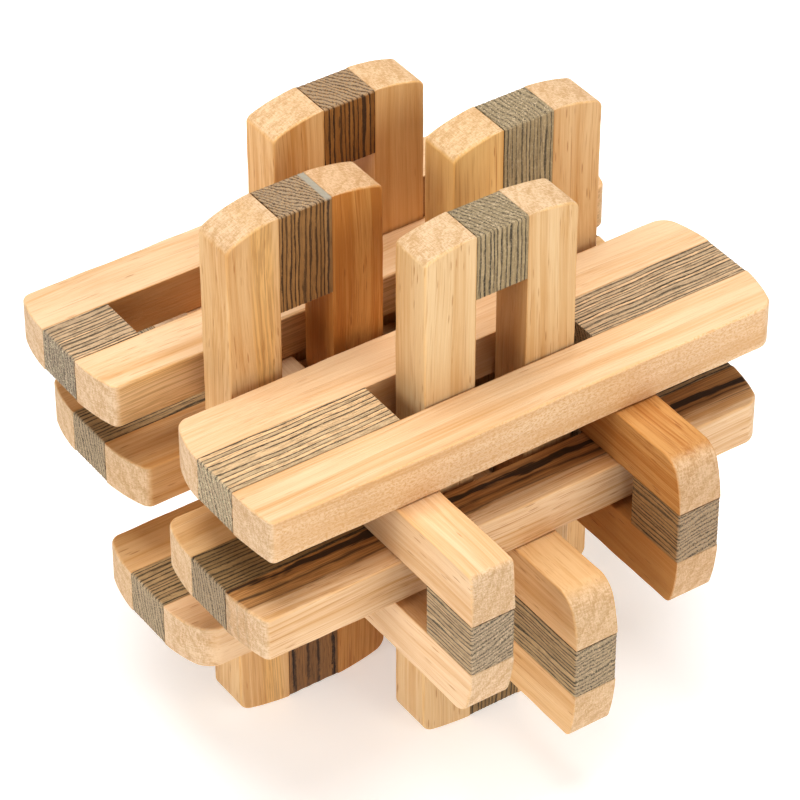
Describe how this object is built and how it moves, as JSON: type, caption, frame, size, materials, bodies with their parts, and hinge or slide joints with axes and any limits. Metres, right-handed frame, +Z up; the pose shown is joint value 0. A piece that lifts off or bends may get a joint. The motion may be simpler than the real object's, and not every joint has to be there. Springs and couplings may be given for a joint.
{
  "type": "wooden burr puzzle",
  "caption": "Interlocking wooden burr puzzle: slotted flat boards in three directions, each of two pale rails and dark laminated end blocks, standing on its uprights.",
  "frame": {"origin": "middle of the footprint, at the level of the uprights' flat bottom ends", "axes": "+X left to right along the cross boards, +Y front to rear along the depth boards, +Z up along the uprights"},
  "size_m": [0.0936, 0.0926, 0.09],
  "materials": {
    "pale_rail": "sanded smooth, bare",
    "dark_block": "sanded smooth, bare, fine laminations"
  },
  "bodies": {
    "top_front_cross_board": {"top_front_cross_rear_rail": "pale_rail", "top_front_cross_front_rail": "pale_rail", "top_front_cross_left_block": "dark_block", "top_front_cross_right_block": "dark_block"},
    "top_rear_cross_board": {"top_rear_cross_rear_rail": "pale_rail", "top_rear_cross_front_rail": "pale_rail", "top_rear_cross_left_block": "dark_block", "top_rear_cross_right_block": "dark_block"},
    "middle_front_cross_board": {"middle_front_cross_rear_rail": "pale_rail", "middle_front_cross_front_rail": "pale_rail", "middle_front_cross_left_block": "dark_block", "middle_front_cross_right_block": "dark_block"},
    "middle_rear_cross_board": {"middle_rear_cross_rear_rail": "pale_rail", "middle_rear_cross_front_rail": "pale_rail", "middle_rear_cross_left_block": "dark_block", "middle_rear_cross_right_block": "dark_block"},
    "bottom_cross_board": {"bottom_cross_rear_rail": "pale_rail", "bottom_cross_front_rail": "pale_rail", "bottom_cross_left_block": "dark_block", "bottom_cross_right_block": "dark_block"},
    "left_depth_board": {"left_depth_top_rail": "pale_rail", "left_depth_bottom_rail": "pale_rail", "left_depth_front_block": "dark_block", "left_depth_rear_block": "dark_block"},
    "right_depth_board": {"right_depth_top_rail": "pale_rail", "right_depth_bottom_rail": "pale_rail", "right_depth_front_block": "dark_block", "right_depth_rear_block": "dark_block"},
    "bottom_depth_board": {"bottom_depth_top_rail": "pale_rail", "bottom_depth_bottom_rail": "pale_rail", "bottom_depth_front_block": "dark_block", "bottom_depth_rear_block": "dark_block"},
    "left_upright_board": {"left_upright_left_rail": "pale_rail", "left_upright_right_rail": "pale_rail", "left_upright_bottom_block": "dark_block", "left_upright_top_block": "dark_block"},
    "right_upright_board": {"right_upright_left_rail": "pale_rail", "right_upright_right_rail": "pale_rail", "right_upright_bottom_block": "dark_block", "right_upright_top_block": "dark_block"},
    "front_upright_board": {"front_upright_left_rail": "pale_rail", "front_upright_right_rail": "pale_rail", "front_upright_bottom_block": "dark_block", "front_upright_top_block": "dark_block"},
    "rear_upright_board": {"rear_upright_left_rail": "pale_rail", "rear_upright_right_rail": "pale_rail", "rear_upright_bottom_block": "dark_block", "rear_upright_top_block": "dark_block"}
  },
  "joints": [
    {"name": "top_front_lift_off", "type": "slide", "parent": "bottom_cross_board", "child": "top_front_cross_board", "axis": [0, 0, 1], "range_m": [0, 0.036]},
    {"name": "top_rear_lift_off", "type": "slide", "parent": "bottom_cross_board", "child": "top_rear_cross_board", "axis": [0, 0, 1], "range_m": [0, 0.036]},
    {"name": "middle_front_slide", "type": "slide", "parent": "bottom_cross_board", "child": "middle_front_cross_board", "axis": [1, 0, 0], "range_m": [-0.0005, 0.006]},
    {"name": "middle_rear_slide", "type": "slide", "parent": "bottom_cross_board", "child": "middle_rear_cross_board", "axis": [1, 0, 0], "range_m": [-0.004, 0.0026]},
    {"name": "left_depth_slide", "type": "slide", "parent": "bottom_cross_board", "child": "left_depth_board", "axis": [0, 1, 0], "range_m": [0, 0.006]},
    {"name": "right_depth_slide", "type": "slide", "parent": "bottom_cross_board", "child": "right_depth_board", "axis": [0, 1, 0], "range_m": [-0.0002, 0.0032]},
    {"name": "bottom_depth_slide", "type": "slide", "parent": "bottom_cross_board", "child": "bottom_depth_board", "axis": [0, 1, 0], "range_m": [-0.0004, 0.006]},
    {"name": "left_upright_slide", "type": "slide", "parent": "bottom_cross_board", "child": "left_upright_board", "axis": [0, 0, 1], "range_m": [-0.0167, 0]},
    {"name": "right_upright_slide", "type": "slide", "parent": "bottom_cross_board", "child": "right_upright_board", "axis": [0, 0, 1], "range_m": [-0.0034, 0]},
    {"name": "front_upright_slide", "type": "slide", "parent": "bottom_cross_board", "child": "front_upright_board", "axis": [0, 0, 1], "range_m": [-0.0387, 0]},
    {"name": "rear_upright_slide", "type": "slide", "parent": "bottom_cross_board", "child": "rear_upright_board", "axis": [0, 0, 1], "range_m": [-0.0387, 0]}
  ]
}
